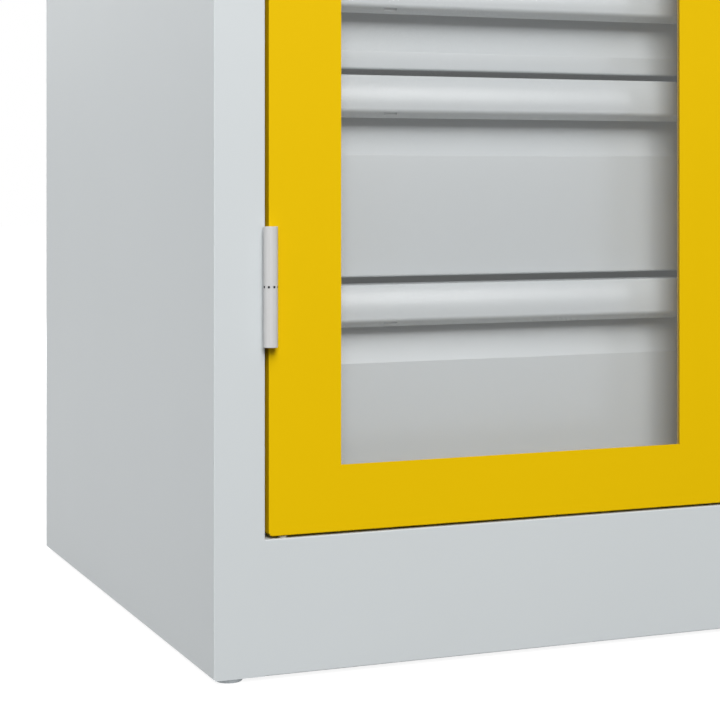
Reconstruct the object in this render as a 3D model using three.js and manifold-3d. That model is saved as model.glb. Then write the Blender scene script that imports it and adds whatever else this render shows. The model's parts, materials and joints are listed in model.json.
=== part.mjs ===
// Heavy-duty sheet-steel cabinet with two vision-panel doors and seven drawers.
// Millimetres, +Z up, the front faces -Y. The origin is the centre of the footprint, on the floor.
import * as THREE from 'three';
import { mergeVertices } from 'three/addons/utils/BufferGeometryUtils.js';
import Module from 'manifold-3d';

const wasm = await Module();
wasm.setup();

// Casing
const width = 1000;
const depth = 600;
const height = 1000;
const sheet = 1.5;
const bend = 2;
const seat = 0.3;
const overrun = 5;
const mergeTolerance = 0.002;
const footProjection = 4;
const postFace = 43.6;
const postReturn = 25;
const postLip = 18;
const rearLip = 15;
const rearPanelFlange = 14;
const plinthHeight = 111.2;
const plinthTopFlange = 34;
const plinthBottomFlange = 30;
const sideLift = 1.2;
const sideFootFlange = 34;
const fasciaHeight = 40.8;
const topRearFlange = 30;
const floorRise = 16.8;
const floorFrontGap = 1;
const floorRearInset = 20;

// Levelling feet
const footRadius = 11.5;
const footInsetX = 17.4;
const footInsetY = 15.4;
const footChamfer = 0.6;
const stemRadius = 4;
const stemLength = 34;
const stemPlay = 0.5;
const nutRadius = 7.5;
const nutHeight = 6.5;

// Doors
const doorGapSide = 3.3;
const doorGapEnds = 2.2;
const doorGapCentre = 3;
const doorDepth = 20;
const doorLip = 12;
const stile = 63.4;
const doorRail = 55.1;
const cornerRelief = 2.6;
const paneThickness = 4;
const paneOverlap = 12;
const retainerSheet = 1.2;
const retainerReveal = 2;
const paneEdgeGap = 1;
const bufferRadius = 3.5;
const bufferSetback = 6.5;
const bufferRounding = 0.7;
const bufferInset = 61;
const bufferClearance = 0.5;

// Hinges: lift-off barrels that stand in front of the gap, with a notched washer at the joint
const hingeLength = 98;
const hingeRadius = 5.9;
const hingeAxisInset = 46;
const hingeAxisAhead = 6.5;
const hingeCentreRise = 203.85;
const hingeFacets = 24;
const hingeLeaf = 2;
const hingeLeafReach = 16;
const pinRadius = 3;
const pinPlay = 0.3;
const pinReach = 38;
const washerThickness = 1.8;
const notchCount = 8;
const notchDepth = 1.1;
const notchHalfWidth = 0.9;
const notchTurn = THREE.MathUtils.degToRad(17);

// Turning handle and lock
const handleRise = 470;
const roseRadius = 27;
const roseThickness = 4;
const knobRadius = 21;
const knobDepth = 12;
const gripLength = 60;
const gripHeight = 18;
const gripDepth = 17;
const gripTaperShare = 0.72;
const cylinderRadius = 8.5;
const cylinderPlay = 0.35;
const cylinderProud = 1.5;
const cylinderDepth = 12;
const keywayWidth = 1.6;
const keywayLength = 8;
const keywayDepth = 2.5;
const spindleSide = 8;
const spindlePlay = 1;
const camThickness = 2.5;
const camRadius = 8;
const camPinArm = 12;
const camPinRadius = 2.5;
const camRim = 1.5;
const camSetback = 10.5;
const crankStart = Math.PI / 4;
const crankUnevenShare = 0.03;
const rodWidth = 12;
const rodThickness = 3;
const rodPlay = 0.6;
const rodTipGap = 1;
const yokeWall = 4;
const guideHeight = 14;
const guideSheet = 1.2;
const guideInset = 29;

// Magnet strips that hold the left door
const catchLength = 40;
const catchDepth = 5;
const catchHeight = 9;
const catchInset = 20;

// Drawers, from the floor of the cabinet up
const pitchShares = [2, 2, 1, 1, 1, 1, 1];
const stackFloorGap = 4.4;
const stackHeadGap = 8.3;
const drawerGap = 6;
const handleSetback = 48;
const frontSideGap = 4.4;
const frontSheet = 1.25;
const frontBend = 2;
const handleHeight = 29.2;
const handleArcRadius = 42;
const handleTopBend = 1.3;
const curlRadius = 6;
const curlTail = 3;
const curlLip = 3.5;
const faceSetback = 19;
const creaseDropShare = 0.7624;
const kneeDropShare = 0.3757;
const pocketDepth = 31;
const frontReturn = 14;
const traySideInset = 57;
const trayFrontGap = 0.3;
const trayRearClear = 40;
const trayFloorRise = 5;
const trayHeadroom = 16;
const trayRim = 8;
const trayBend = 2;
const railHeight = 12.8;
const railSideGap = 0.85;
const railFrontInset = 14;
const channelHeight = 17;
const channelReach = 13.75;
const channelRise = 6;
const channelRearClear = 36;
const uprightInset = 43;
const uprightWidth = 40;
const uprightFrontY = 104;
const uprightRearClear = 60;
const rackHeadroom = 8;

// Worked out from the sizes above
const halfWidth = width / 2;
const bottomZ = footProjection;
const plinthTopZ = bottomZ + plinthHeight;
const fasciaBottomZ = height - fasciaHeight;
const floorTopZ = plinthTopZ + floorRise;
const openingHalf = halfWidth - postFace;
const innerHalf = halfWidth - sheet - seat;
const rearPanelY = depth - sheet - seat;
const doorHingeInset = postFace + doorGapSide;
const doorMeetInset = halfWidth - doorGapCentre / 2;
const doorBottomZ = plinthTopZ + doorGapEnds;
const doorTopZ = fasciaBottomZ - doorGapEnds;
const windowHingeInset = doorHingeInset + stile;
const windowMeetInset = doorMeetInset - stile;
const windowBottomZ = doorBottomZ + doorRail;
const windowTopZ = doorTopZ - doorRail;
const paneFrontY = sheet + seat;
const paneBackY = paneFrontY + paneThickness;
const retainerBackY = paneBackY + seat + retainerSheet;
const lockInset = doorMeetInset - stile / 2;
const lockZ = doorBottomZ + handleRise;
const rodFrontY = camSetback + camThickness + seat;
const rodBackY = rodFrontY + rodThickness;
const rodOffset = (camPinArm * (1 + Math.cos(crankStart))) / 2;
const handleFront = roseThickness + seat + knobDepth + gripDepth;
const stackBottomZ = floorTopZ + stackFloorGap;
const stackTopZ = fasciaBottomZ - stackHeadGap;
const shareSum = pitchShares.reduce((sum, share) => sum + share, 0);
const drawerModule = (stackTopZ - stackBottomZ) / shareSum;
const creaseDrop = drawerModule * creaseDropShare;
const kneeDrop = drawerModule * kneeDropShare;
const channelWebInset = uprightInset - sheet / 2;
const trayHalf = halfWidth - traySideInset;
const trayFrontY = handleSetback + pocketDepth + frontSheet + trayFrontGap;
const trayRearY = depth - trayRearClear;

const paints = {
  bodyGrey: { color: '#c9ced1', roughness: 0.45, metalness: 0 },
  doorYellow: { color: '#e0bb0b', roughness: 0.45, metalness: 0 },
  drawerGrey: { color: '#c6cacb', roughness: 0.4, metalness: 0 },
  hingeGrey: { color: '#cccccc', roughness: 0.5, metalness: 0 },
  zinc: { color: '#b9bcbe', roughness: 0.35, metalness: 0.9 },
  blackCoat: { color: '#2b2c2e', roughness: 0.5, metalness: 0 },
  paleRubber: { color: '#b5b7b8', roughness: 0.8, metalness: 0 },
  clear: { color: '#f4f7f8', roughness: 0.05, metalness: 0, transparent: true, opacity: 0.2 },
};

const cabinet = new THREE.Group();

// One outline point list to a closed prism along the named axis. Outlines along x are drawn in
// (y, z), along y in (x, z) and along z in (x, y).
const prismBases = {
  x: [new THREE.Vector3(0, 1, 0), new THREE.Vector3(0, 0, 1), new THREE.Vector3(1, 0, 0)],
  y: [new THREE.Vector3(1, 0, 0), new THREE.Vector3(0, 0, 1), new THREE.Vector3(0, -1, 0)],
  z: [new THREE.Vector3(1, 0, 0), new THREE.Vector3(0, 1, 0), new THREE.Vector3(0, 0, 1)],
};

function prism(axis, outline, from, to, holes = []) {
  const low = Math.min(from, to);
  const high = Math.max(from, to);
  const shape = new THREE.Shape(anticlockwise(outline));
  holes.forEach((hole) => shape.holes.push(new THREE.Path(anticlockwise(hole).reverse())));
  const geometry = new THREE.ExtrudeGeometry(shape, { depth: high - low, bevelEnabled: false });
  geometry.translate(0, 0, axis === 'y' ? -high : low);
  geometry.applyMatrix4(new THREE.Matrix4().makeBasis(...prismBases[axis]));
  return solid(geometry);
}

function anticlockwise(outline) {
  const points = outline.map(([u, v]) => new THREE.Vector2(u, v));
  return THREE.ShapeUtils.area(points) < 0 ? points.reverse() : points;
}

function solid(geometry) {
  const bare = geometry.clone();
  bare.deleteAttribute('normal');
  bare.deleteAttribute('uv');
  const merged = mergeVertices(bare, mergeTolerance);
  return new wasm.Manifold(new wasm.Mesh({
    numProp: 3,
    vertProperties: merged.attributes.position.array,
    triVerts: new Uint32Array(merged.index.array),
  }));
}

function box(x0, x1, y0, y1, z0, z1) {
  const geometry = new THREE.BoxGeometry(Math.abs(x1 - x0), Math.abs(y1 - y0), Math.abs(z1 - z0));
  geometry.translate((x0 + x1) / 2, (y0 + y1) / 2, (z0 + z1) / 2);
  return solid(geometry);
}

function round(axis, radius, sides, cx, cy, from, to) {
  const outline = [];
  for (let i = 0; i < sides; i += 1) {
    const angle = ((i + 0.5) / sides) * Math.PI * 2;
    outline.push([cx + radius * Math.cos(angle), cy + radius * Math.sin(angle)]);
  }
  return prism(axis, outline, from, to);
}

function join(...solids) {
  return solids.reduce((total, next) => total.add(next));
}

function add(name, form, paint) {
  const mesh = form.getMesh();
  const geometry = new THREE.BufferGeometry();
  geometry.setAttribute('position', new THREE.BufferAttribute(mesh.vertProperties, 3));
  geometry.setIndex(new THREE.BufferAttribute(mesh.triVerts, 1));
  const material = new THREE.MeshStandardMaterial({ ...paint, flatShading: true });
  const node = new THREE.Mesh(geometry, material);
  node.name = name;
  cabinet.add(node);
}

// The closed section of a folded sheet. The path is one face of the sheet, the sheet lies to the
// left of it, and each corner takes an outer bend radius, or none where it is a point of a curve.
function sheetSection(path, thickness, radii) {
  const shifted = path.map((point, i) => {
    const before = i > 0 ? heading(path[i - 1], point) : heading(point, path[i + 1]);
    const after = i < path.length - 1 ? heading(point, path[i + 1]) : before;
    const cosHalf = Math.sqrt((1 + before[0] * after[0] + before[1] * after[1]) / 2);
    const sum = [-(before[1] + after[1]), before[0] + after[0]];
    const length = Math.hypot(...sum);
    const reach = thickness / cosHalf;
    return [point[0] + (sum[0] / length) * reach, point[1] + (sum[1] / length) * reach];
  });
  const near = roundedCorners(path, (i, turn) => (turn > 0 ? radii[i] : radii[i] - thickness));
  const far = roundedCorners(shifted, (i, turn) => (turn > 0 ? radii[i] - thickness : radii[i]));
  return [...near, ...far.reverse()];
}

function heading(from, to) {
  const length = Math.hypot(to[0] - from[0], to[1] - from[1]);
  return [(to[0] - from[0]) / length, (to[1] - from[1]) / length];
}

function roundedCorners(points, radiusAt) {
  const result = [];
  const arcSteps = 3;
  const smallestBend = frontSheet / 8;
  points.forEach((point, i) => {
    if (i === 0 || i === points.length - 1) {
      result.push(point);
      return;
    }
    const before = heading(points[i - 1], point);
    const after = heading(point, points[i + 1]);
    const turn = Math.atan2(before[0] * after[1] - before[1] * after[0], before[0] * after[0] + before[1] * after[1]);
    const radius = radiusAt(i, turn);
    if (!(radius > smallestBend)) {
      result.push(point);
      return;
    }
    const tangent = radius * Math.tan(Math.abs(turn) / 2);
    const side = Math.sign(turn);
    const start = [point[0] - before[0] * tangent, point[1] - before[1] * tangent];
    const centre = [start[0] - before[1] * radius * side, start[1] + before[0] * radius * side];
    for (let step = 0; step <= arcSteps; step += 1) {
      const angle = (turn * step) / arcSteps;
      const arm = [start[0] - centre[0], start[1] - centre[1]];
      result.push([
        centre[0] + arm[0] * Math.cos(angle) - arm[1] * Math.sin(angle),
        centre[1] + arm[0] * Math.sin(angle) + arm[1] * Math.cos(angle),
      ]);
    }
  });
  return result;
}

// A folded sheet whose corners all have the same bend
function foldedSection(path, thickness = sheet, radius = bend) {
  return sheetSection(path, thickness, path.map(() => radius));
}

const acrossX = (side, inset) => side * (halfWidth - inset);
const mirrored = (side, outline) => outline.map(([inset, v]) => [acrossX(side, inset), v]);

// Each side of the casing is one blank: side wall, front post with its return, and a rear lip.
// The post's return is notched away beside the plinth and the top rail, which butt against it.
function sidePanel(side) {
  const foldStart = postFace - bend - overrun;
  const wall = foldedSection([[rearLip, depth], [0, depth], [0, 0], [postFace - bend, 0]]);
  const post = foldedSection([
    [postFace - postLip, postReturn],
    [postFace, postReturn],
    [postFace, 0],
    [foldStart, 0],
  ].reverse());
  const footFlangeBottom = bottomZ + sideLift;
  let body = join(
    prism('z', mirrored(side, wall), footFlangeBottom, height),
    prism('z', mirrored(side, post), plinthTopZ, fasciaBottomZ),
    box(acrossX(side, bend), acrossX(side, postFace), 0, sheet, bottomZ, plinthTopZ),
    box(acrossX(side, foldStart), acrossX(side, postFace), 0, sheet, fasciaBottomZ, height),
    box(acrossX(side, sheet / 2), acrossX(side, sideFootFlange), sheet / 2, depth - sheet - seat,
      footFlangeBottom, footFlangeBottom + sheet),
  );
  [footInsetY, depth - footInsetY].forEach((y) => {
    const hole = round('z', stemRadius + stemPlay, 16, acrossX(side, footInsetX), y,
      footFlangeBottom - overrun, footFlangeBottom + sheet + overrun);
    body = body.subtract(hole);
  });
  return body;
}

function rearPanel() {
  const half = halfWidth - sheet - seat;
  const frontY = rearPanelY - rearPanelFlange;
  const path = [[half, frontY], [half, rearPanelY], [-half, rearPanelY], [-half, frontY]];
  return prism('z', foldedSection(path), plinthTopZ + seat, height - sheet - seat);
}

// A tall channel with its flanges to the back: the plinth and the rail over the doors
function frontChannel(topY, topZ, lowZ, lowY) {
  return foldedSection([[topY, topZ], [0, topZ], [0, lowZ], [lowY, lowZ]]);
}

// The upper rod runs on one side of the spindle and the lower rod on the other
const rodX = (end) => acrossX(1, lockInset) + end * rodOffset;
const rodSlot = (end, z0, z1) => box(
  rodX(end) - rodWidth / 2 - rodPlay, rodX(end) + rodWidth / 2 + rodPlay,
  rodFrontY - rodPlay, rodBackY + rodPlay, z0, z1,
);

function frontPlinth() {
  const section = frontChannel(plinthTopFlange, plinthTopZ, bottomZ, plinthBottomFlange);
  return prism('x', section, -openingHalf, openingHalf)
    .subtract(rodSlot(-1, plinthTopZ - sheet - overrun, plinthTopZ + overrun));
}

function rearPlinth() {
  const section = frontChannel(plinthTopFlange, plinthTopZ, bottomZ, plinthBottomFlange)
    .map(([y, z]) => [depth - y, z]);
  const half = halfWidth - rearLip - seat;
  const flangeHalf = halfWidth - sideFootFlange - seat;
  const cut = (side) => box(side * flangeHalf, side * halfWidth, depth - plinthBottomFlange - overrun, depth - sheet,
    bottomZ - overrun, bottomZ + sheet + overrun);
  return prism('x', section, -half, half).subtract(cut(-1)).subtract(cut(1));
}

// The top sheet lies between the sides, with the rail over the doors folded down from it
function topPanel() {
  const sheetFrontY = sheet + seat;
  const rearFlangeY = rearPanelY - rearPanelFlange - seat;
  const rearFlange = foldedSection([
    [rearFlangeY, height - topRearFlange], [rearFlangeY, height], [rearFlangeY - topRearFlange, height],
  ]);
  const fascia = frontChannel(plinthTopFlange, height, fasciaBottomZ, plinthTopFlange);
  return join(
    box(-innerHalf, innerHalf, sheetFrontY, depth - sheet - seat, height - sheet, height),
    prism('x', rearFlange, -innerHalf, innerHalf),
    prism('x', fascia, -openingHalf, openingHalf),
  ).subtract(rodSlot(1, fasciaBottomZ - overrun, fasciaBottomZ + sheet + overrun));
}

function floorPanel() {
  const frontY = postReturn + floorFrontGap;
  const rearY = depth - floorRearInset;
  const legZ = plinthTopZ + seat;
  const path = [[rearY, legZ], [rearY, floorTopZ], [frontY, floorTopZ], [frontY, legZ]];
  return prism('x', foldedSection(path), -innerHalf, innerHalf);
}

function levellingFoot(side, y) {
  const x = acrossX(side, footInsetX);
  const flangeZ = bottomZ + sideLift;
  const discTop = flangeZ - seat;
  const nutZ = flangeZ + sheet + seat;
  const profile = [
    [0, 0],
    [footRadius - footChamfer, 0],
    [footRadius, footChamfer],
    [footRadius, discTop - footChamfer],
    [footRadius - footChamfer, discTop],
    [stemRadius, discTop],
    [stemRadius, discTop + stemLength],
    [0, discTop + stemLength],
  ];
  const turned = new THREE.LatheGeometry(profile.map(([r, z]) => new THREE.Vector2(r, z)), 24);
  turned.rotateX(Math.PI / 2);
  turned.translate(x, y, 0);
  return join(solid(turned), round('z', nutRadius, 6, x, y, nutZ, nutZ + nutHeight));
}

// Two uprights on the side wall carry one open channel for each drawer's rail
function runnerRack(side) {
  const uprightTopZ = height - sheet - rackHeadroom;
  const channelFrontY = trayFrontY + railFrontInset;
  const channelRearY = depth - channelRearClear;
  const pieces = [uprightFrontY, depth - uprightRearClear - uprightWidth].map((y) => {
    const path = [
      [sheet + seat, y], [uprightInset, y], [uprightInset, y + uprightWidth], [sheet + seat, y + uprightWidth],
    ];
    return prism('z', mirrored(side, foldedSection(path)), floorTopZ + seat, uprightTopZ);
  });
  drawerPlaces().forEach(({ frontBottomZ }) => {
    const lowZ = frontBottomZ + trayFloorRise + channelRise;
    const tip = channelWebInset + channelReach;
    const path = [
      [tip, lowZ + channelHeight], [channelWebInset, lowZ + channelHeight], [channelWebInset, lowZ], [tip, lowZ],
    ];
    pieces.push(prism('y', mirrored(side, foldedSection(path)), channelFrontY, channelRearY));
  });
  return join(...pieces);
}

function drawerPlaces() {
  let z = stackBottomZ;
  return pitchShares.map((share) => {
    const pitch = share * drawerModule;
    z += pitch;
    return { topZ: z, frontHeight: pitch - drawerGap, frontBottomZ: z - pitch + drawerGap };
  });
}

// A drawer front is one sheet: lower return, face, crease, sloped and upright finger pocket wall,
// top flange, arched handle strip, and the rolled curl at the handle's foot.
function drawerFront({ topZ, frontHeight }) {
  const y = (setback) => handleSetback + setback;
  const z = (drop) => topZ - drop;
  const arcHalf = Math.asin(handleHeight / 2 / handleArcRadius);
  const sagitta = handleArcRadius * (1 - Math.cos(arcHalf));
  const path = [
    [y(faceSetback + frontSheet + frontReturn), z(frontHeight - frontSheet)],
    [y(faceSetback + frontSheet), z(frontHeight - frontSheet)],
    [y(faceSetback + frontSheet), z(creaseDrop)],
    [y(pocketDepth + frontSheet), z(kneeDrop)],
    [y(pocketDepth + frontSheet), z(0)],
  ];
  const radii = path.map(() => frontBend);
  const arcSteps = 7;
  for (let i = 0; i <= arcSteps; i += 1) {
    const angle = arcHalf - (2 * arcHalf * i) / arcSteps;
    path.push([
      y(handleArcRadius * (1 - Math.cos(angle))),
      z(handleHeight / 2 - handleArcRadius * Math.sin(angle)),
    ]);
    radii.push(i === 0 ? handleTopBend : 0);
  }
  const curlSteps = 4;
  for (let i = 1; i <= curlSteps; i += 1) {
    const angle = (Math.PI / 2) * (i / curlSteps);
    path.push([
      y(sagitta + curlRadius * (1 - Math.cos(angle))),
      z(handleHeight + curlRadius * Math.sin(angle)),
    ]);
    radii.push(0);
  }
  path.push([y(sagitta + curlRadius + curlTail), z(handleHeight + curlRadius)]);
  radii.push(frontBend);
  path.push([y(sagitta + curlRadius + curlTail), z(handleHeight + curlRadius - curlLip)]);
  radii.push(0);
  const half = openingHalf - frontSideGap;
  return prism('x', sheetSection(path, frontSheet, radii), -half, half);
}

// The tray behind the front: a U of sheet with rolled rims, two end walls and a rail on each side
function drawerTray({ topZ, frontBottomZ }) {
  const lowZ = frontBottomZ + trayFloorRise;
  const rimZ = topZ - trayHeadroom;
  const path = [
    [-trayHalf + trayRim, rimZ], [-trayHalf, rimZ], [-trayHalf, lowZ],
    [trayHalf, lowZ], [trayHalf, rimZ], [trayHalf - trayRim, rimZ],
  ];
  const pieces = [prism('y', foldedSection(path, sheet, trayBend), trayFrontY, trayRearY)];
  [trayFrontY, trayRearY - sheet].forEach((y) => {
    pieces.push(box(-trayHalf + sheet / 2, trayHalf - sheet / 2, y, y + sheet, lowZ + sheet / 2, rimZ - sheet / 2));
  });
  const railLow = lowZ + channelRise + sheet + seat;
  const railInset = channelWebInset + sheet + railSideGap;
  [-1, 1].forEach((side) => {
    pieces.push(box(acrossX(side, railInset), acrossX(side, traySideInset + sheet / 2),
      trayFrontY + railFrontInset, trayRearY, railLow, railLow + railHeight));
  });
  return join(...pieces);
}

// A door frame is a folded pan: a face with the window cut out and a C-shaped edge on each side
function doorFrame(side) {
  const faceInset = bend;
  const edge = foldedSection([
    [doorLip, doorDepth], [0, doorDepth], [0, 0], [bend + overrun, 0],
  ]);
  const x = (inset) => acrossX(side, inset);
  const face = rectangle(x(doorHingeInset + faceInset), x(doorMeetInset - faceInset),
    doorBottomZ + faceInset, doorTopZ - faceInset);
  const opening = rectangle(x(windowHingeInset), x(windowMeetInset), windowBottomZ, windowTopZ);
  const zRun = [doorBottomZ + cornerRelief, doorTopZ - cornerRelief];
  const xRun = [x(doorHingeInset + cornerRelief), x(doorMeetInset - cornerRelief)];
  return join(
    prism('y', face, 0, sheet, [opening]),
    prism('z', edge.map(([p, q]) => [x(doorHingeInset + p), q]), ...zRun),
    prism('z', edge.map(([p, q]) => [x(doorMeetInset - p), q]), ...zRun),
    prism('x', edge.map(([p, q]) => [q, doorBottomZ + p]), ...xRun),
    prism('x', edge.map(([p, q]) => [q, doorTopZ - p]), ...xRun),
  );
}

function rectangle(x0, x1, z0, z1) {
  return [[x0, z0], [x1, z0], [x1, z1], [x0, z1]];
}

// The locking door also has a spindle hole in its face and a slot at each end for the rods
function lockingDoorFrame() {
  const x = acrossX(1, lockInset);
  const hole = round('y', spindleSide / Math.SQRT2 + spindlePlay, 24, x, lockZ, -overrun, sheet + overrun);
  return doorFrame(1)
    .subtract(hole)
    .subtract(rodSlot(-1, doorBottomZ - overrun, doorBottomZ + sheet + overrun))
    .subtract(rodSlot(1, doorTopZ - sheet - overrun, doorTopZ + overrun));
}

const windowRectangle = (side, grow) => rectangle(
  acrossX(side, windowHingeInset - grow), acrossX(side, windowMeetInset + grow),
  windowBottomZ - grow, windowTopZ + grow,
);

function windowPane(side) {
  return prism('y', windowRectangle(side, paneOverlap), paneFrontY, paneBackY);
}

// The retainer is a folded ring: a flat flange on the pane's back and a rim around the pane's edge
function paneRetainer(side) {
  const rimInner = paneOverlap + paneEdgeGap;
  const rimOuter = rimInner + retainerSheet;
  return join(
    prism('y', windowRectangle(side, rimOuter), paneBackY + seat, retainerBackY,
      [windowRectangle(side, retainerReveal)]),
    prism('y', windowRectangle(side, rimOuter), paneFrontY, retainerBackY, [windowRectangle(side, rimInner)]),
  );
}

function doorBuffer(side) {
  const top = doorGapEnds - bufferClearance;
  const profile = [[0, 0], [bufferRadius, 0], [bufferRadius, top - bufferRounding]];
  profile.push([bufferRadius - bufferRounding * 0.3, top - bufferRounding * 0.3]);
  profile.push([bufferRadius - bufferRounding, top], [0, top]);
  const turned = new THREE.LatheGeometry(profile.map(([r, z]) => new THREE.Vector2(r, z)), 24);
  turned.rotateX(Math.PI / 2);
  turned.translate(acrossX(side, bufferInset), bufferSetback, plinthTopZ);
  return solid(turned);
}

const hingeAxis = (side) => [acrossX(side, hingeAxisInset), -hingeAxisAhead];

// The washer's rim has square notches all round
function notchedCircle(side) {
  const [cx, cy] = hingeAxis(side);
  const point = (radius, angle) => [cx - side * radius * Math.sin(angle), cy - radius * Math.cos(angle)];
  const outline = [];
  const pitch = (2 * Math.PI) / notchCount;
  const halfAngle = notchHalfWidth / hingeRadius;
  for (let i = 0; i < notchCount; i += 1) {
    const centre = notchTurn + i * pitch;
    outline.push(point(hingeRadius, centre - halfAngle), point(hingeRadius - notchDepth, centre - halfAngle));
    outline.push(point(hingeRadius - notchDepth, centre + halfAngle), point(hingeRadius, centre + halfAngle));
    outline.push(point(hingeRadius, centre + pitch / 2));
  }
  return outline;
}

const barrel = (side, from, to) => round('z', hingeRadius, hingeFacets, ...hingeAxis(side), from, to);

function pinHole(side, radius, from, to) {
  return round('z', radius, 16, ...hingeAxis(side), from, to);
}

// Frame knuckle: the lower half, with a leaf into the gap beside the post and the pin standing up
function frameKnuckle(side, centreZ) {
  const low = centreZ - hingeLength / 2;
  const high = centreZ - washerThickness / 2 - seat;
  const leafInset = postFace + seat;
  return join(
    barrel(side, low, high),
    box(acrossX(side, leafInset), acrossX(side, leafInset + hingeLeaf), -hingeAxisAhead, hingeLeafReach, low, high),
    pinHole(side, pinRadius, low + overrun, high + pinReach),
  );
}

// Door knuckle: the upper half, bored for the pin, with a leaf against the door's edge
function doorKnuckle(side, centreZ) {
  const low = centreZ + washerThickness / 2 + seat;
  const high = centreZ + hingeLength / 2;
  const leafInset = doorHingeInset - seat;
  return join(
    barrel(side, low, high),
    box(acrossX(side, leafInset - hingeLeaf), acrossX(side, leafInset), -hingeAxisAhead, hingeLeafReach, low, high),
  ).subtract(pinHole(side, pinRadius + pinPlay, low - overrun, low + pinReach + seat));
}

function hingeWasher(side, centreZ) {
  return prism('z', notchedCircle(side), centreZ - washerThickness / 2, centreZ + washerThickness / 2)
    .subtract(pinHole(side, pinRadius + pinPlay, centreZ - overrun, centreZ + overrun));
}

function handleRose() {
  const x = acrossX(1, lockInset);
  return round('y', roseRadius, 40, x, lockZ, -roseThickness, -seat)
    .subtract(round('y', spindleSide / Math.SQRT2 + spindlePlay, 24, x, lockZ, -roseThickness - overrun, overrun));
}

// A rounded bar that narrows from the hub towards both ends
function gripOutline(x, z) {
  const endRadius = (gripHeight / 2) * gripTaperShare;
  const outline = [];
  const endSteps = 6;
  [1, -1].forEach((end) => {
    for (let i = 0; i <= endSteps; i += 1) {
      const angle = -Math.PI / 2 + (Math.PI * i) / endSteps;
      outline.push([
        x + end * (gripLength / 2 - endRadius + endRadius * Math.cos(angle)),
        z + end * endRadius * Math.sin(angle),
      ]);
    }
    outline.push([x, z + (end * gripHeight) / 2]);
  });
  return outline;
}

// Turning handle: round hub, grip bar with a bore for the cylinder, and a square spindle
function turnHandle() {
  const x = acrossX(1, lockInset);
  const hubBack = -roseThickness - seat;
  const hubFront = hubBack - knobDepth;
  const gripFront = hubFront - gripDepth;
  return join(
    round('y', knobRadius, 36, x, lockZ, hubBack, hubFront),
    prism('y', gripOutline(x, lockZ), hubFront + knobDepth / 2, gripFront),
    box(x - spindleSide / 2, x + spindleSide / 2, hubBack - knobDepth / 2, camSetback - seat,
      lockZ - spindleSide / 2, lockZ + spindleSide / 2),
  ).subtract(round('y', cylinderRadius + cylinderPlay, 28, x, lockZ, gripFront - overrun, gripFront + cylinderDepth));
}

function lockCylinder() {
  const x = acrossX(1, lockInset);
  const gripFront = -handleFront;
  const front = gripFront - cylinderProud;
  return round('y', cylinderRadius, 28, x, lockZ, front, gripFront + cylinderDepth - seat)
    .subtract(box(x - keywayWidth / 2, x + keywayWidth / 2, front - overrun, front + keywayDepth,
      lockZ - keywayLength / 2, lockZ + keywayLength / 2));
}

// A pin on each end of the cam drives one rod. At rest the cam leans by the crank's start angle.
const crankPin = (end) => [
  acrossX(1, lockInset) + end * camPinArm * Math.cos(crankStart),
  lockZ - end * camPinArm * Math.sin(crankStart),
];

function latchCam() {
  const back = camSetback + camThickness;
  const pieces = [round('y', camRadius, 24, acrossX(1, lockInset), lockZ, camSetback, back)];
  const rim = camPinRadius + camRim;
  const [x0, z0] = crankPin(-1);
  const [x1, z1] = crankPin(1);
  const across = [rim * Math.sin(crankStart), rim * Math.cos(crankStart)];
  const arm = [
    [x0 - across[0], z0 - across[1]], [x1 - across[0], z1 - across[1]],
    [x1 + across[0], z1 + across[1]], [x0 + across[0], z0 + across[1]],
  ];
  pieces.push(prism('y', arm, camSetback, back));
  [-1, 1].forEach((end) => {
    pieces.push(round('y', rim, 20, ...crankPin(end), camSetback, back));
    pieces.push(round('y', camPinRadius, 16, ...crankPin(end), camSetback, rodBackY));
  });
  return join(...pieces);
}

// A rod ends in a yoke. Its slot lets the crank pin run across while it lifts the rod, and is taller
// than the pin by how far the crank's lift strays from an even one.
function lockRod(end) {
  const [, pinZ] = crankPin(end);
  const x = rodX(end);
  const slotHalfWidth = camPinArm - (rodOffset - camPinRadius - rodPlay);
  const slotHalfHeight = camPinRadius + camPinArm * crankUnevenShare + rodPlay / 2;
  const yokeHalfWidth = slotHalfWidth + yokeWall;
  const yokeHalfHeight = slotHalfHeight + yokeWall;
  const tipZ = end > 0 ? doorTopZ - sheet - rodTipGap : doorBottomZ + sheet + rodTipGap;
  return join(
    box(x - yokeHalfWidth, x + yokeHalfWidth, rodFrontY, rodBackY, pinZ - yokeHalfHeight, pinZ + yokeHalfHeight),
    box(x - rodWidth / 2, x + rodWidth / 2, rodFrontY, rodBackY, pinZ + end * slotHalfHeight, tipZ),
  ).subtract(box(x - slotHalfWidth, x + slotHalfWidth, rodFrontY - overrun, rodBackY + overrun,
    pinZ - slotHalfHeight, pinZ + slotHalfHeight));
}

// A strap on the back of the door's face holds each rod near its end
function rodGuide(end) {
  const half = rodWidth / 2 + rodPlay + guideSheet;
  const backY = rodBackY + rodPlay + guideSheet;
  const x = rodX(end);
  const path = [[x + half, paneFrontY], [x + half, backY], [x - half, backY], [x - half, paneFrontY]];
  const middle = end > 0 ? doorTopZ - guideInset : doorBottomZ + guideInset;
  const section = foldedSection(path, guideSheet, bend);
  return prism('z', section, middle - guideHeight / 2, middle + guideHeight / 2);
}

// A magnet strip behind the left door's free edge, on the plinth and under the rail over the door
function magnetCatch(end) {
  const x = acrossX(-1, doorMeetInset - catchInset);
  const face = end > 0 ? fasciaBottomZ : plinthTopZ;
  const frontY = doorDepth + seat;
  return box(x, x - catchLength, frontY, frontY + catchDepth, face, face - end * catchHeight);
}

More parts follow.
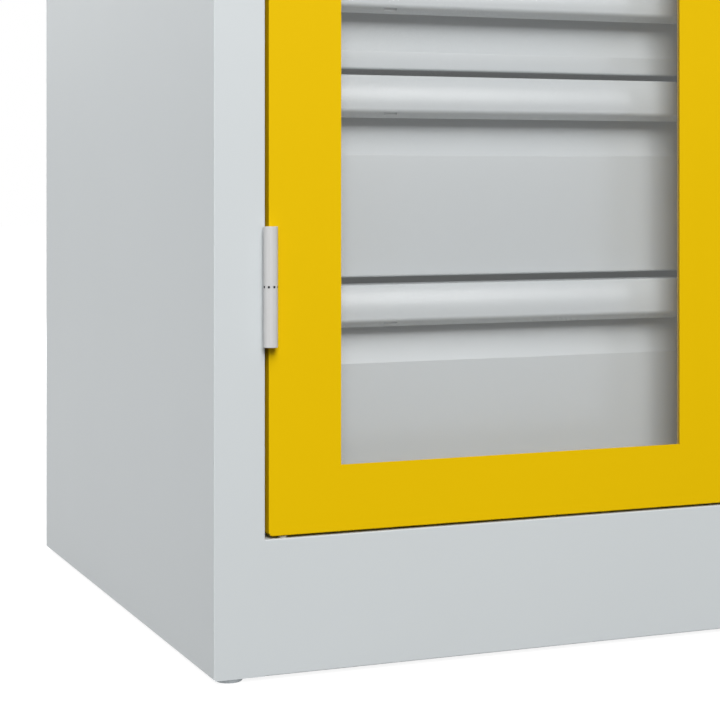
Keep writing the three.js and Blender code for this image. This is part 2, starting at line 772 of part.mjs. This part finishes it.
[['left', -1], ['right', 1]].forEach(([word, side]) => {
  add(`${word}_side_panel`, sidePanel(side), paints.bodyGrey);
  add(`${word}_runner_rack`, runnerRack(side), paints.zinc);
  add(`${word}_door_frame`, side < 0 ? doorFrame(side) : lockingDoorFrame(), paints.doorYellow);
  add(`${word}_door_pane`, windowPane(side), paints.clear);
  add(`${word}_pane_retainer`, paneRetainer(side), paints.doorYellow);
  add(`${word}_door_buffer`, doorBuffer(side), paints.paleRubber);
  add(`front_${word}_levelling_foot`, levellingFoot(side, footInsetY), paints.zinc);
  add(`rear_${word}_levelling_foot`, levellingFoot(side, depth - footInsetY), paints.zinc);
  const lowCentreZ = doorBottomZ + hingeCentreRise;
  const highCentreZ = doorTopZ - hingeCentreRise;
  [['lower', lowCentreZ], ['upper', highCentreZ]].forEach(([level, centreZ]) => {
    add(`${word}_${level}_hinge_frame_knuckle`, frameKnuckle(side, centreZ), paints.hingeGrey);
    add(`${word}_${level}_hinge_door_knuckle`, doorKnuckle(side, centreZ), paints.hingeGrey);
    add(`${word}_${level}_hinge_washer`, hingeWasher(side, centreZ), paints.hingeGrey);
  });
});
add('rear_panel', rearPanel(), paints.bodyGrey);
add('top_panel', topPanel(), paints.bodyGrey);
add('floor_panel', floorPanel(), paints.bodyGrey);
add('front_plinth', frontPlinth(), paints.bodyGrey);
add('rear_plinth', rearPlinth(), paints.bodyGrey);
add('handle_rose', handleRose(), paints.blackCoat);
add('turn_handle', turnHandle(), paints.blackCoat);
add('lock_cylinder', lockCylinder(), paints.zinc);
add('latch_cam', latchCam(), paints.zinc);
[['upper', 1], ['lower', -1]].forEach(([level, end]) => {
  add(`${level}_lock_rod`, lockRod(end), paints.zinc);
  add(`${level}_rod_guide`, rodGuide(end), paints.zinc);
  add(`${level}_magnet_catch`, magnetCatch(end), paints.blackCoat);
});
drawerPlaces().forEach((place, i) => {
  add(`drawer_${i + 1}_front`, drawerFront(place), paints.drawerGrey);
  add(`drawer_${i + 1}_tray`, drawerTray(place), paints.drawerGrey);
});

cabinet.position.y = -(depth - handleFront - cylinderProud) / 2;

export default cabinet;
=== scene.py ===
import json
import math

import bmesh
import bpy
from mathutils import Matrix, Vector


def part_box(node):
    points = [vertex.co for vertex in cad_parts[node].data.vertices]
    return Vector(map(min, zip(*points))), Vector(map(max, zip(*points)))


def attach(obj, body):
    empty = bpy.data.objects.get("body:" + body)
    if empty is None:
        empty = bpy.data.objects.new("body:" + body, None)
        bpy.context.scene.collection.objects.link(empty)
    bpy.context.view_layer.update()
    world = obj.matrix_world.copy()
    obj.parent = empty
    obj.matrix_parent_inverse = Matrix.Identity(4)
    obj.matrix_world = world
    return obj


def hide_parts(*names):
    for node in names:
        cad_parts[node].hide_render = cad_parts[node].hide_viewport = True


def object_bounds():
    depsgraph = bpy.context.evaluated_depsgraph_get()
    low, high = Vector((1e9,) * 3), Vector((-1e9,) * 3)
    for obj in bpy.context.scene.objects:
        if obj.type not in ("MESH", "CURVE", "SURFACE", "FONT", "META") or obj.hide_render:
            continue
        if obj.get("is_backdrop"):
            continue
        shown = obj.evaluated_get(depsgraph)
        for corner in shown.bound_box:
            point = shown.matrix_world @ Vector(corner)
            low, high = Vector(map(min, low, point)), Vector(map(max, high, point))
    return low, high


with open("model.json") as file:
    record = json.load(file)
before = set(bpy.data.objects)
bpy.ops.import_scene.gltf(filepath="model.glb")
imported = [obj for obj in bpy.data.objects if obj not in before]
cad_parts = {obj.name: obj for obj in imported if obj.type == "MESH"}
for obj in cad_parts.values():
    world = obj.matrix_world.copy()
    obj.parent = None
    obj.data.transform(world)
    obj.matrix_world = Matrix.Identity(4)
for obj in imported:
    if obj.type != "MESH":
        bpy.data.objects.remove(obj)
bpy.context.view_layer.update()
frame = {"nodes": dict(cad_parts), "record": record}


# The view: a long lens at the height of the lowest drawers, to the left of the cabinet and level.
# It is placed from the body's front left lower corner, and the frame is shifted instead of tilted.
MM = 0.001
plinth_low, plinth_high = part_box("front_plinth")
side_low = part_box("left_side_panel")[0]
front_plane = side_low.y
body_corner = Vector((side_low.x, front_plane, plinth_low.z))
view_from_corner = Vector((-466.6, -1444.0, 405.6)) * MM
view_yaw = math.radians(21.87)

view = bpy.data.objects.new("camera", bpy.data.cameras.new("camera"))
bpy.context.scene.collection.objects.link(view)
view.location = body_corner + view_from_corner
view.rotation_euler = (math.pi / 2, 0, -view_yaw)
view.data.sensor_width = 36
view.data.lens = 94.03
view.data.shift_x = 0.0218
view.data.shift_y = -0.2528
view.data.clip_end = 50
bpy.context.scene.camera = view
bpy.context.scene.view_settings.view_transform = "Standard"


# The studio: a pale floor that runs to the horizon, an even white surround and seven soft boxes.
# The floor shows white to the eye and keeps the soft shadow under the cabinet.
floor_reach = 14
dim_to, full_from = 0.8, 2.4
dim_glow = 0.9
hidden_sky = 0.02


def linear(hex_colour):
    parts = [int(hex_colour[i:i + 2], 16) / 255 for i in (1, 3, 5)]
    return [c / 12.92 if c <= 0.04045 else ((c + 0.055) / 1.055) ** 2.4 for c in parts] + [1]


def add(tree, kind, inputs=None, **settings):
    made = tree.nodes.new(kind)
    for name, value in settings.items():
        setattr(made, name, value)
    for name, value in (inputs or {}).items():
        if isinstance(value, bpy.types.NodeSocket):
            tree.links.new(value, made.inputs[name])
        else:
            made.inputs[name].default_value = value
    return made


def bare_material(name):
    material = bpy.data.materials.new(name)
    material.use_nodes = True
    material.node_tree.nodes.clear()
    return material, material.node_tree


# One for a ray from the eye, or one that the eye sees in gloss or through a pane, and else nought.
def sight(tree):
    rays = add(tree, "ShaderNodeLightPath").outputs
    direct = add(tree, "ShaderNodeMath", {0: rays["Is Camera Ray"], 1: rays["Is Glossy Ray"]},
                 operation="MAXIMUM")
    return add(tree, "ShaderNodeMath", {0: direct.outputs[0], 1: rays["Is Transmission Ray"]},
               operation="MAXIMUM").outputs[0]


floor_mesh = bpy.data.meshes.new("floor")
floor_mesh.from_pydata([(-floor_reach, -floor_reach, 0), (floor_reach, -floor_reach, 0),
                        (floor_reach, floor_reach, 0), (-floor_reach, floor_reach, 0)],
                       [], [(0, 1, 2, 3)])
floor = bpy.data.objects.new("floor", floor_mesh)
bpy.context.scene.collection.objects.link(floor)
floor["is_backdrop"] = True

# The paper glows a little less close to the cabinet, so that its shadow still shows there.
floor_paper, tree = bare_material("white_studio_paper")
paper = add(tree, "ShaderNodeBsdfDiffuse", {"Color": linear("#7c7c7c")})
place = add(tree, "ShaderNodeTexCoord").outputs["Object"]
away = add(tree, "ShaderNodeVectorMath", {0: place}, operation="LENGTH").outputs["Value"]
level = add(tree, "ShaderNodeMapRange", {"Value": away, "From Min": dim_to, "From Max": full_from,
                                         "To Min": dim_glow, "To Max": 1.0})
glow = add(tree, "ShaderNodeEmission", {"Color": (1, 1, 1, 1), "Strength": level.outputs[0]})
seen = add(tree, "ShaderNodeAddShader", {0: paper.outputs[0], 1: glow.outputs[0]})
unseen = add(tree, "ShaderNodeBsdfDiffuse", {"Color": linear("#707070")})
shown = add(tree, "ShaderNodeMixShader", {0: sight(tree), 1: unseen.outputs[0], 2: seen.outputs[0]})
add(tree, "ShaderNodeOutputMaterial", {"Surface": shown.outputs[0]})
floor_mesh.materials.append(floor_paper)

surround = bpy.data.worlds.new("white_surround")
bpy.context.scene.world = surround
surround.use_nodes = True
tree = surround.node_tree
tree.nodes.clear()
level = add(tree, "ShaderNodeMapRange", {"Value": sight(tree), "To Min": hidden_sky, "To Max": 1.0})
sky = add(tree, "ShaderNodeBackground", {"Color": (1, 1, 1, 1), "Strength": level.outputs[0]})
add(tree, "ShaderNodeOutputWorld", {"Surface": sky.outputs[0]})

# Each box: its place, the point it faces and its width and height, in metres, and its watts.
soft_boxes = (
    ("key_box", (-2.0, -5.63, 3.55), (-0.15, -0.25, 0.4), (2.3, 2.7), 264),
    ("high_box", (-0.95, -4.02, 5.0), (-0.15, -0.25, 0.4), (2.8, 2.2), 154),
    ("front_box", (-0.6, -5.5, 3.4), (-0.15, -0.25, 0.45), (1.0, 1.6), 71),
    ("strip_box", (2.12, -5.48, 2.05), (-0.15, -0.25, 0.45), (1.0, 1.9), 73),
    ("left_box", (-2.6, 0.35, 2.4), (-0.5, 0.0, 0.5), (2.0, 1.6), 66),
    ("right_box", (3.3, 0.3, 1.5), (0.5, 0.0, 0.5), (2.0, 1.6), 75),
    ("rear_box", (0.4, 3.3, 1.5), (0.0, 0.3, 0.5), (2.4, 1.6), 100),
)
for name, place, aim, size, power in soft_boxes:
    lamp = bpy.data.objects.new(name, bpy.data.lights.new(name, "AREA"))
    bpy.context.scene.collection.objects.link(lamp)
    lamp.location = place
    lamp.rotation_euler = (Vector(aim) - Vector(place)).to_track_quat("-Z", "Y").to_euler()
    lamp.data.shape = "RECTANGLE"
    lamp.data.size, lamp.data.size_y = size
    lamp.data.energy = power
    # The strip only draws the handles' gloss, so the doors' shadows on the drawers stay short.
    lamp.visible_diffuse = name != "strip_box"


# The casing: folded 1.5 mm steel sheet, spot-welded and powder-coated light grey after welding.
# The coat is satin and evenly opaque, with a fine orange-peel skin about a millimetre across. The
# front edges are folded to a sharper bend than the solids have.
drawn_bend = 2 * MM
crisp_bend = 0.9 * MM
post_face = 43.6 * MM
rail_height = 40.8 * MM
nodes = frame["nodes"]
record = frame["record"]
body_of = {node: body for body, held in record["behaviour"]["bodies"].items() for node in held}


# A coat's base varies by a percent or two in clouds a hand wide, and its gloss with the skin.
def powder_coat(name, hex_colour, roughness, peel_mm=1.1, peel=0.05, shine=0.5):
    cloud_mm, cloud_share, gloss_spread, peel_height = 160, 0.015, 0.03, 0.2 * MM
    material, tree = bare_material(name)
    place = add(tree, "ShaderNodeTexCoord").outputs["Object"]
    skin = add(tree, "ShaderNodeTexNoise", {"Vector": place, "Scale": 1 / (peel_mm * MM),
                                            "Detail": 2.0, "Roughness": 0.5})
    cloud = add(tree, "ShaderNodeTexNoise", {"Vector": place, "Scale": 1 / (cloud_mm * MM),
                                             "Detail": 3.0})
    tone = add(tree, "ShaderNodeValToRGB", {"Fac": cloud.outputs["Fac"]})
    base = linear(hex_colour)[:3]
    tone.color_ramp.elements[0].color = [c * (1 - cloud_share) for c in base] + [1]
    tone.color_ramp.elements[1].color = [min(1, c * (1 + cloud_share)) for c in base] + [1]
    gloss = add(tree, "ShaderNodeMapRange", {"Value": skin.outputs["Fac"],
                                             "To Min": roughness - gloss_spread,
                                             "To Max": roughness + gloss_spread})
    bump = add(tree, "ShaderNodeBump", {"Height": skin.outputs["Fac"], "Strength": peel,
                                        "Distance": peel_height})
    coat = add(tree, "ShaderNodeBsdfPrincipled", {"Base Color": tone.outputs["Color"],
                                                  "Roughness": gloss.outputs[0], "IOR": 1.5,
                                                  "Specular IOR Level": shine,
                                                  "Normal": bump.outputs["Normal"]})
    add(tree, "ShaderNodeOutputMaterial", {"Surface": coat.outputs[0]})
    return material


def wear(material, *names):
    for name in names:
        nodes[name].data.materials.clear()
        nodes[name].data.materials.append(material)


def finished(piece, material, node, smooth_below=30):
    piece.data.materials.clear()
    piece.data.materials.append(material)
    piece.data.polygons.foreach_set("use_smooth", [True] * len(piece.data.polygons))
    piece.data.set_sharp_from_angle(angle=math.radians(smooth_below))
    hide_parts(node)
    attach(piece, body_of[node])


# Pulls the drawn bend at an outer edge in to the sharper one. Each edge is (axis, place, direction
# inward): axis 0 for an upright edge, 2 for a level one.
def crisply_folded(name, node, material, edges):
    corner_slack, bend_slack = 0.02 * MM, 0.03 * MM
    mesh = nodes[node].data.copy()
    for axis, place, inward in edges:
        for vertex in mesh.vertices:
            arm = Vector(((vertex.co[axis] - place) * inward, vertex.co.y - front_plane))
            arm -= Vector((drawn_bend, drawn_bend))
            if max(arm) < corner_slack and abs(arm.length - drawn_bend) < bend_slack:
                arm = arm * (crisp_bend / drawn_bend) + Vector((crisp_bend, crisp_bend))
                vertex.co[axis] = place + arm.x * inward
                vertex.co.y = front_plane + arm.y
    piece = bpy.data.objects.new(name, mesh)
    bpy.context.scene.collection.objects.link(piece)
    finished(piece, material, node)


casing_coat = powder_coat("light_grey_powder_coat", "#c4c9cb", 0.48)
for side, inward in (("left", 1), ("right", -1)):
    outside = side_low.x * inward
    crisply_folded(f"{side}_folded_side_and_post", f"{side}_side_panel", casing_coat,
                   [(0, outside, inward), (0, outside + post_face * inward, -inward)])
crisply_folded("folded_front_plinth", "front_plinth", casing_coat,
               [(2, plinth_high.z, -1), (2, plinth_low.z, 1)])
top_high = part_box("top_panel")[1]
crisply_folded("folded_top_and_rail", "top_panel", casing_coat,
               [(2, top_high.z, -1), (2, top_high.z - rail_height, 1)])
wear(casing_coat, "rear_panel", "floor_panel", "rear_plinth")


# The doors: folded pans of the same sheet with a cut window, powder-coated a strong warm yellow.
# A nick is left open at each corner where two folds meet. The coat has the casing's satin skin.
door_coat = powder_coat("signal_yellow_powder_coat", "#dfb700", 0.5, shine=0.05)
for side in ("left", "right"):
    low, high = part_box(f"{side}_door_frame")
    crisply_folded(f"{side}_folded_door_pan", f"{side}_door_frame", door_coat,
                   [(0, low.x, 1), (0, high.x, -1), (2, low.z, 1), (2, high.z, -1)])
wear(door_coat, "left_pane_retainer", "right_pane_retainer")


# The panes: clear acrylic sheet 4 mm thick, cut and polished, behind the window openings.
# It is so clear that only a faint surface gloss shows.
clear_acrylic, tree = bare_material("clear_polished_acrylic")
sheet_gloss = add(tree, "ShaderNodeBsdfPrincipled", {"Base Color": linear("#eef2f3"),
                                                     "Roughness": 0.03, "IOR": 1.49,
                                                     "Alpha": 0.06})
add(tree, "ShaderNodeOutputMaterial", {"Surface": sheet_gloss.outputs[0]})
wear(clear_acrylic, "left_door_pane", "right_door_pane")


# The hinges: lift-off steel barrels in a plain neutral grey paint, with eight faint flutes and
# crisp ends. Each knuckle has a leaf welded into the gap beside the door, and a washer with square
# notches lies between the two. The notches' inner walls are painted near-black as painted shade.
hinge_coat = powder_coat("neutral_grey_paint", "#c1c1c1", 0.5, peel_mm=0.8)
# Near-black paint for the washer's notch walls: painted shade for the dark inside the notches.
notch_shade = powder_coat("painted_notch_shade", "#23292c", 0.45, peel_mm=0.6)
hinge_radius = 5.9 * MM
hinge_sides = 48
hinge_flutes = 8
flute_depth = 0.16 * MM
flute_turn = math.radians(11.5)
notch_depth = 2.1 * MM
notch_half = 0.9 * MM
rim_slack = 0.3 * MM
broken_edge = 0.15 * MM
joint_edge = 0.05 * MM
joint_play = 0.04 * MM
bore_radius = 3.3 * MM
pin_radius = 3 * MM
pin_sides = 24
pin_rise = 38 * MM
pin_seat = 5 * MM
bore_overrun = 5 * MM
leaf_end_gap = 0.2 * MM
leaf_thickness_mm = 2
leaf_from_side_mm = {"frame": 43.9, "door": 44.6}


def closed(name, points, faces):
    mesh = bpy.data.meshes.new(name)
    mesh.from_pydata([tuple(point) for point in points], [], faces)
    work = bmesh.new()
    work.from_mesh(mesh)
    bmesh.ops.recalc_face_normals(work, faces=work.faces)
    work.to_mesh(mesh)
    work.free()
    piece = bpy.data.objects.new(name, mesh)
    bpy.context.scene.collection.objects.link(piece)
    return piece


# An outline round an axis is a list of (angle, how far it drops inside the radius there).
def plain_round(sides=pin_sides):
    return [(2 * math.pi * i / sides, 0) for i in range(sides)]


def fluted_round():
    every = hinge_sides // hinge_flutes
    return [(flute_turn + angle, 0 if i % every else flute_depth)
            for i, (angle, _) in enumerate(plain_round(hinge_sides))]


def notched_round():
    outline = []
    half = notch_half / hinge_radius
    for angle, _ in plain_round(hinge_flutes):
        middle = flute_turn + angle
        outline += [(middle - half, 0), (middle - half, notch_depth), (middle, notch_depth),
                    (middle + half, notch_depth), (middle + half, 0)]
        land = 2 * math.pi / hinge_flutes - 2 * half
        outline += [(middle + half + land * i / 4, 0) for i in (1, 2, 3)]
    return outline


def turned(name, centre, profile, outline, hand=1):
    points = []
    for radius, z in profile:
        for angle, drop in outline:
            points.append((centre[0] + hand * (radius - drop) * math.sin(angle),
                           centre[1] - (radius - drop) * math.cos(angle), z))
    sides = len(outline)
    faces = [tuple(range(sides)), tuple(range(len(points) - sides, len(points)))]
    for ring in range(len(profile) - 1):
        for i in range(sides):
            low, next_low = ring * sides + i, ring * sides + (i + 1) % sides
            faces.append((low, next_low, next_low + sides, low + sides))
    return closed(name, points, faces)


def block(name, low, high):
    points = [(x, y, z) for x in (low[0], high[0]) for y in (low[1], high[1])
              for z in (low[2], high[2])]
    return closed(name, points, [(0, 1, 3, 2), (4, 6, 7, 5), (0, 4, 5, 1), (2, 3, 7, 6),
                                 (0, 2, 6, 4), (1, 5, 7, 3)])


# Turns what the modifiers make of a piece into its own mesh.
def settled(piece):
    worked = piece.evaluated_get(bpy.context.evaluated_depsgraph_get())
    made = bpy.data.meshes.new_from_object(worked)
    piece.modifiers.clear()
    piece.data = made


def shaped(piece, tool, operation):
    change = piece.modifiers.new(operation.lower(), "BOOLEAN")
    change.operation = operation
    change.object = tool
    change.solver = "EXACT"
    settled(piece)
    bpy.data.objects.remove(tool)


def hinge_knuckle(node, half, inward, axis, joint_low, joint_high):
    low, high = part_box(node)
    if half == "frame":
        bottom, top, foot_edge, head_edge = low.z, joint_low, broken_edge, joint_edge
    else:
        bottom, top, foot_edge, head_edge = joint_high, high.z, joint_edge, broken_edge
    barrel = turned(node.replace("knuckle", "barrel"), axis,
                    [(hinge_radius - foot_edge, bottom), (hinge_radius, bottom + foot_edge),
                     (hinge_radius, top - head_edge), (hinge_radius - head_edge, top)],
                    fluted_round(), inward)
    near = leaf_from_side_mm[half]
    leaf_x = [side_low.x + near * MM, side_low.x + (near + leaf_thickness_mm) * MM]
    leaf_x = leaf_x if inward > 0 else [-leaf_x[1], -leaf_x[0]]
    leaf = block("leaf", (leaf_x[0], axis[1], bottom + leaf_end_gap),
                 (leaf_x[1], high.y, top - leaf_end_gap))
    shaped(barrel, leaf, "UNION")
    if half == "frame":
        pin = turned("pin", axis, [(pin_radius, low.z + pin_seat), (pin_radius, top + pin_rise)],
                     plain_round())
        shaped(barrel, pin, "UNION")
    else:
        bore = turned("bore", axis,
                      [(bore_radius, bottom - bore_overrun), (bore_radius, low.z + pin_rise)],
                      plain_round())
        shaped(barrel, bore, "DIFFERENCE")
    finished(barrel, hinge_coat, node, smooth_below=10)


def hinge_washer(node, name, inward, axis, low, high):
    washer = turned(name, axis, [(hinge_radius, low.z), (hinge_radius, high.z)],
                    notched_round(), inward)
    bore = turned("bore", axis, [(bore_radius, low.z - MM), (bore_radius, high.z + MM)],
                  plain_round())
    shaped(washer, bore, "DIFFERENCE")
    finished(washer, hinge_coat, node)
    # The notches' upright walls get the near-black painted shade.
    washer.data.materials.append(notch_shade)
    for face in washer.data.polygons:
        out = math.hypot(face.center.x - axis[0], face.center.y - axis[1])
        upright = abs(face.normal.z) < 0.5
        face.material_index = 1 if upright and out < hinge_radius - rim_slack else 0


for side, inward in (("left", 1), ("right", -1)):
    for level in ("lower", "upper"):
        washer_node = f"{side}_{level}_hinge_washer"
        low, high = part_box(washer_node)
        axis = ((low.x + high.x) / 2, (low.y + high.y) / 2)
        for half in ("frame", "door"):
            hinge_knuckle(f"{side}_{level}_hinge_{half}_knuckle", half, inward, axis,
                          low.z - joint_play, high.z + joint_play)
        hinge_washer(washer_node, f"{side}_{level}_notched_washer", inward, axis, low, high)


# The drawer fronts: each is one 1.25 mm sheet, folded for the face and the finger pocket behind,
# then rolled over into an arched handle strip with a curled foot and two drain slots. Its light
# grey powder coat is smoother and glossier than the casing's, and is set darker partly as painted
# shade for the light that the pane takes from the drawers.
drawer_coat = powder_coat("drawer_grey_powder_coat", "#b5b9bb", 0.27, peel=0.02)
wear(drawer_coat, *[f"drawer_{number}_tray" for number in range(1, 8)])
# In millimetres, and the lean in degrees. handle_setback counts from the cabinet's front,
# face_setback and pocket_depth from the handle's front, crease_drop and knee_drop from the top.
front_sheet = 1.25
front_bend = 2.0
crease_bend = 1.4
handle_setback = 48.0
handle_height = 28.8
handle_arc = 64.0
handle_lean = 8.5
handle_steps = 16
handle_top_bend = 1.3
foot_start = 2.9
foot_bend = 4.4
foot_depth = 12.0
foot_drop = 9.0
foot_hem = 4.5
hem_bend = 1.5
hem_lean = 0.6
face_setback = 19.0
crease_drop = 69.0
knee_drop = 34.0
pocket_depth = 31.0
lower_return = 14.0
drain_from_middle = 323.0
drain_length = 12.0
drain_setback = 2.3
drain_width = 3.5
drain_below_arc = 0.6
drain_reach = 10
handle_half = math.asin(handle_height / 2 / handle_arc)
handle_top_angle = math.radians(handle_lean) + handle_half
handle_foot_angle = math.radians(handle_lean) - handle_half
foot_setback = handle_arc * (1 - math.cos(handle_foot_angle))


# Rounds each corner of a path to its radius. A corner under the least radius or turn stays sharp.
def bent(points, radii, bend_steps=6, least_radius=0.04, least_turn=0.01):
    made = [points[0]]
    for before, here, after, radius in zip(points, points[1:], points[2:], radii[1:]):
        enter, leave = (here - before).normalized(), (after - here).normalized()
        turn = math.atan2(enter.cross(leave), enter.dot(leave))
        if radius < least_radius or abs(turn) < least_turn:
            made.append(here)
            continue
        start = here - enter * radius * math.tan(abs(turn) / 2)
        centre = start + Vector((-enter.y, enter.x)) * math.copysign(radius, turn)
        arm = start - centre
        for step in range(bend_steps + 1):
            c, s = math.cos(turn * step / bend_steps), math.sin(turn * step / bend_steps)
            made.append(centre + Vector((arm.x * c - arm.y * s, arm.x * s + arm.y * c)))
    return made + [points[-1]]


# The section of a folded sheet: the path, and the same path a sheet's thickness to its left.
def sheet_section(path, thickness, radii):
    far = []
    near_radii, far_radii = [], []
    for i, here in enumerate(path):
        enter = (here - path[i - 1]).normalized() if i else (path[1] - here).normalized()
        leave = (path[i + 1] - here).normalized() if i < len(path) - 1 else enter
        lean = Vector((-(enter.y + leave.y), enter.x + leave.x)).normalized()
        far.append(here + lean * thickness / math.sqrt((1 + enter.dot(leave)) / 2))
        left_turn = enter.cross(leave) > 0
        near_radii.append(radii[i] if left_turn else radii[i] - thickness)
        far_radii.append(radii[i] - thickness if left_turn else radii[i])
    return bent(path, near_radii) + bent(far, far_radii)[::-1]


def front_section(height):
    face, wall = face_setback + front_sheet, pocket_depth + front_sheet
    path = [(face + lower_return, front_sheet - height), (face, front_sheet - height),
            (face, -crease_drop), (wall, -knee_drop), (wall, 0)]
    radii = [front_bend, front_bend, crease_bend, front_bend, front_bend]
    for i in range(handle_steps + 1):
        angle = handle_top_angle + (handle_foot_angle - handle_top_angle) * i / handle_steps
        path.append((handle_arc * (1 - math.cos(angle)),
                     handle_arc * (math.sin(angle) - math.sin(handle_top_angle))))
        radii.append(0 if i else handle_top_bend)
    arc_end, hem = path[-1][1], foot_setback + foot_depth
    path += [(foot_setback, arc_end - foot_start), (hem, arc_end - foot_drop),
             (hem + hem_lean, arc_end - foot_drop + foot_hem)]
    radii += [foot_bend, hem_bend, 0]
    return sheet_section([Vector(point) for point in path], front_sheet, radii)


def drawn_out(name, outline, origin, low_x, high_x):
    count = len(outline)
    points = [(x, origin[0] + u * MM, origin[1] + v * MM) for x in (low_x, high_x)
              for u, v in outline]
    faces = [tuple(range(count)), tuple(range(count, 2 * count))]
    faces += [(i, (i + 1) % count, (i + 1) % count + count, i + count) for i in range(count)]
    return closed(name, points, faces)


for number in range(1, 8):
    low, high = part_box(f"drawer_{number}_front")
    front = drawn_out(f"drawer_{number}_folded_front", front_section((high.z - low.z) / MM),
                      (front_plane + handle_setback * MM, high.z), low.x, high.x)
    for x in (-drain_from_middle, drain_from_middle):
        y = front_plane + (handle_setback + foot_setback + drain_setback) * MM
        z = high.z - (handle_height + drain_below_arc) * MM
        slot = block("drain", ((x - drain_length / 2) * MM, y, z - drain_reach * MM),
                     ((x + drain_length / 2) * MM, y + drain_width * MM, z))
        shaped(front, slot, "DIFFERENCE")
    finished(front, drawer_coat, f"drawer_{number}_front")


# The running gear, lock rods and guides: cold-rolled steel with bright zinc plate.
# Zinc shows a cool grey metal with soft cloudy patches, and the paler a patch, the duller it is.
def plated(name, hex_colour, patch_mm, dull, bright):
    dark_share, light_share = 0.94, 1.05
    material, tree = bare_material(name)
    place = add(tree, "ShaderNodeTexCoord").outputs["Object"]
    patches = add(tree, "ShaderNodeTexNoise", {"Vector": place, "Scale": 1 / (patch_mm * MM),
                                               "Detail": 3.0})
    tone = add(tree, "ShaderNodeValToRGB", {"Fac": patches.outputs["Fac"]})
    base = linear(hex_colour)[:3]
    tone.color_ramp.elements[0].color = [c * dark_share for c in base] + [1]
    tone.color_ramp.elements[1].color = [min(1, c * light_share) for c in base] + [1]
    sheen = add(tree, "ShaderNodeMapRange", {"Value": patches.outputs["Fac"], "To Min": bright,
                                             "To Max": dull})
    plate = add(tree, "ShaderNodeBsdfPrincipled", {"Base Color": tone.outputs["Color"],
                                                   "Metallic": 1.0,
                                                   "Roughness": sheen.outputs[0]})
    add(tree, "ShaderNodeOutputMaterial", {"Surface": plate.outputs[0]})
    return material


bright_zinc = plated("bright_zinc_plate", "#a4a9ac", 9, 0.44, 0.28)
wear(bright_zinc, "left_runner_rack", "right_runner_rack", "upper_lock_rod", "lower_lock_rod",
     "upper_rod_guide", "lower_rod_guide", "latch_cam")


# The levelling feet: turned steel discs on a screw with a lock nut, zinc-plated and passivated.
# The plate looks a dull, flat pale grey.
dull_zinc = plated("dull_zinc_plate", "#93989b", 4, 0.55, 0.42)
wear(dull_zinc, *[name for name in nodes if name.endswith("levelling_foot")])


# The turning handle and its rose: zinc castings with rounded edges, powder-coated black.
# The coat is satin and shows a fine skin where the light catches the grip. The edges are rounded
# once the solid's split corners are joined and its flat faces are made whole.
def eased(name, node, material, radius_mm, segments=3):
    same_point, same_plane, edge_turn = 0.002 * MM, math.radians(1), math.radians(40)
    mesh = nodes[node].data.copy()
    work = bmesh.new()
    work.from_mesh(mesh)
    bmesh.ops.remove_doubles(work, verts=work.verts, dist=same_point)
    bmesh.ops.dissolve_limit(work, angle_limit=same_plane, verts=work.verts, edges=work.edges)
    work.to_mesh(mesh)
    work.free()
    piece = bpy.data.objects.new(name, mesh)
    bpy.context.scene.collection.objects.link(piece)
    change = piece.modifiers.new("edges", "BEVEL")
    change.width = radius_mm * MM
    change.segments = segments
    change.limit_method = "ANGLE"
    change.angle_limit = edge_turn
    settled(piece)
    finished(piece, material, node)


casting_coat = powder_coat("black_powder_coated_casting", "#1d1e20", 0.42, peel_mm=0.9, peel=0.08)
eased("cast_handle_rose", "handle_rose", casting_coat, 0.9)
eased("cast_turning_grip", "turn_handle", casting_coat, 0.8)


# The lock cylinder: turned brass with a keyway, plated in satin nickel.
# It shows a warm pale metal, brushed to a soft shine.
satin_nickel = plated("satin_nickel_plate", "#c9c4ba", 1.2, 0.34, 0.24)
eased("keyed_lock_cylinder", "lock_cylinder", satin_nickel, 0.3, segments=2)


# The magnet strips behind the left door: pressed black ferrite, glued on. Ferrite is dark grey and
# matt, with a fine sintered grain and slightly rounded edges.
ferrite = powder_coat("sintered_black_ferrite", "#2c2d2f", 0.66, peel_mm=0.5, peel=0.2, shine=0.3)
eased("upper_magnet_strip", "upper_magnet_catch", ferrite, 0.5)
eased("lower_magnet_strip", "lower_magnet_catch", ferrite, 0.5)


# The door buffers: round buttons of pale moulded rubber, pressed into the plinth under each door.
# Rubber is soft-looking and almost without shine.
pale_rubber = powder_coat("moulded_pale_rubber", "#d6d6d2", 0.72, peel_mm=0.4, peel=0.12,
                          shine=0.25)
wear(pale_rubber, "left_door_buffer", "right_door_buffer")

low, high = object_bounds()
